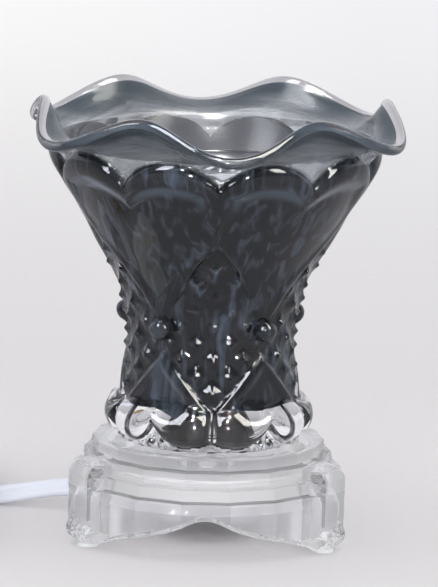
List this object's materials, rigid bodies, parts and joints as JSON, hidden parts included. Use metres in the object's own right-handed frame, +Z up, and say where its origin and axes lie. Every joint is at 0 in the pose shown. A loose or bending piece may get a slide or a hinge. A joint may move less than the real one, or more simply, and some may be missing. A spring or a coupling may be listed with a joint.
{
  "type": "essential oil burner",
  "caption": "Electric oil burner: ruffled dark glass shade with hearts and diamond points, clear oil dish, warming lamp, stepped clear glass base and mains cord.",
  "frame": {"origin": "on the table, under the middle of the base", "axes": "+Z up along the shade's axis; the front arch of the base and the view of the picture face -Y; the cord leaves at the back left"},
  "size_m": [0.239, 0.1935, 0.1634],
  "materials": {
    "clear_glass": "pressed clear glass, fire polished",
    "smoky_glass": "dark smoky grey glass under a clear casing, glossy",
    "white_ceramic": "unglazed white steatite, matt",
    "black_phenolic": "moulded black phenolic, satin",
    "black_steel": "black painted steel, satin",
    "grey_plastic": "moulded light grey plastic, satin",
    "white_plastic": "moulded white plastic, satin",
    "white_vinyl": "soft white cord vinyl, satin",
    "clear_rubber": "clear silicone rubber, satin",
    "steel": "zinc plated steel",
    "brass": "plain brass",
    "circuit_board": "paper phenolic board, matt",
    "mirror_coat": "vacuum coated mirror on pressed glass"
  },
  "bodies": {
    "base": {"glass_base": "clear_glass", "foot_pad_1": "clear_rubber", "foot_pad_2": "clear_rubber", "foot_pad_3": "clear_rubber", "holder_washer": "clear_rubber", "holder_plate": "black_steel", "lampholder": "black_phenolic", "threaded_tube": "steel", "upper_nut": "steel", "lock_washer": "steel", "lower_nut": "steel", "holder_contact_left": "brass", "holder_contact_right": "brass", "lamp_lead_left": "white_plastic", "lamp_lead_right": "white_plastic", "holder_screw_left": "steel", "holder_screw_right": "steel", "wiring_cup": "grey_plastic", "cup_cover": "grey_plastic", "terminal_block": "white_plastic", "cover_screw_left": "steel", "cover_screw_right": "steel", "cord_core_left": "white_plastic", "cord_core_right": "white_plastic", "strain_relief": "white_vinyl", "cord_lead": "white_vinyl", "cord_coil": "white_vinyl", "cord_bridge": "white_vinyl", "plug_lead": "white_vinyl", "coil_tie": "white_plastic", "dimmer_case_lower": "white_plastic", "dimmer_case_upper": "white_plastic", "dimmer_board": "circuit_board", "dimmer_potentiometer": "steel", "dimmer_screw_front": "steel", "dimmer_screw_back": "steel", "plug_body": "white_vinyl", "plug_blade_left": "brass", "plug_blade_right": "brass"},
    "lamp": {"lamp_cap": "white_ceramic", "lamp_reflector": "mirror_coat", "lamp_front_glass": "clear_glass", "lamp_capsule": "clear_glass", "lamp_stud_left": "brass", "lamp_stud_right": "brass"},
    "shade": {"glass_shade": "smoky_glass"},
    "dish": {"oil_dish": "clear_glass"},
    "dimmer_wheel": {"dimmer_wheel": "white_plastic"}
  },
  "joints": [
    {"name": "shade_lift", "type": "slide", "parent": "base", "child": "shade", "axis": [0, 0, 1], "range_m": [0, 0.12]},
    {"name": "dish_lift", "type": "slide", "parent": "shade", "child": "dish", "axis": [0, 0, 1], "range_m": [0, 0.08]},
    {"name": "lamp_twist", "type": "hinge", "parent": "base", "child": "lamp", "pos_m": [0, 0, 0.057], "axis": [0, 0, 1], "range_deg": [0, 20]},
    {"name": "dimmer_turn", "type": "hinge", "parent": "base", "child": "dimmer_wheel", "pos_m": [-0.099, -0.026, 0.0148], "axis": [0, 0, 1], "range_deg": [0, 300]}
  ]
}
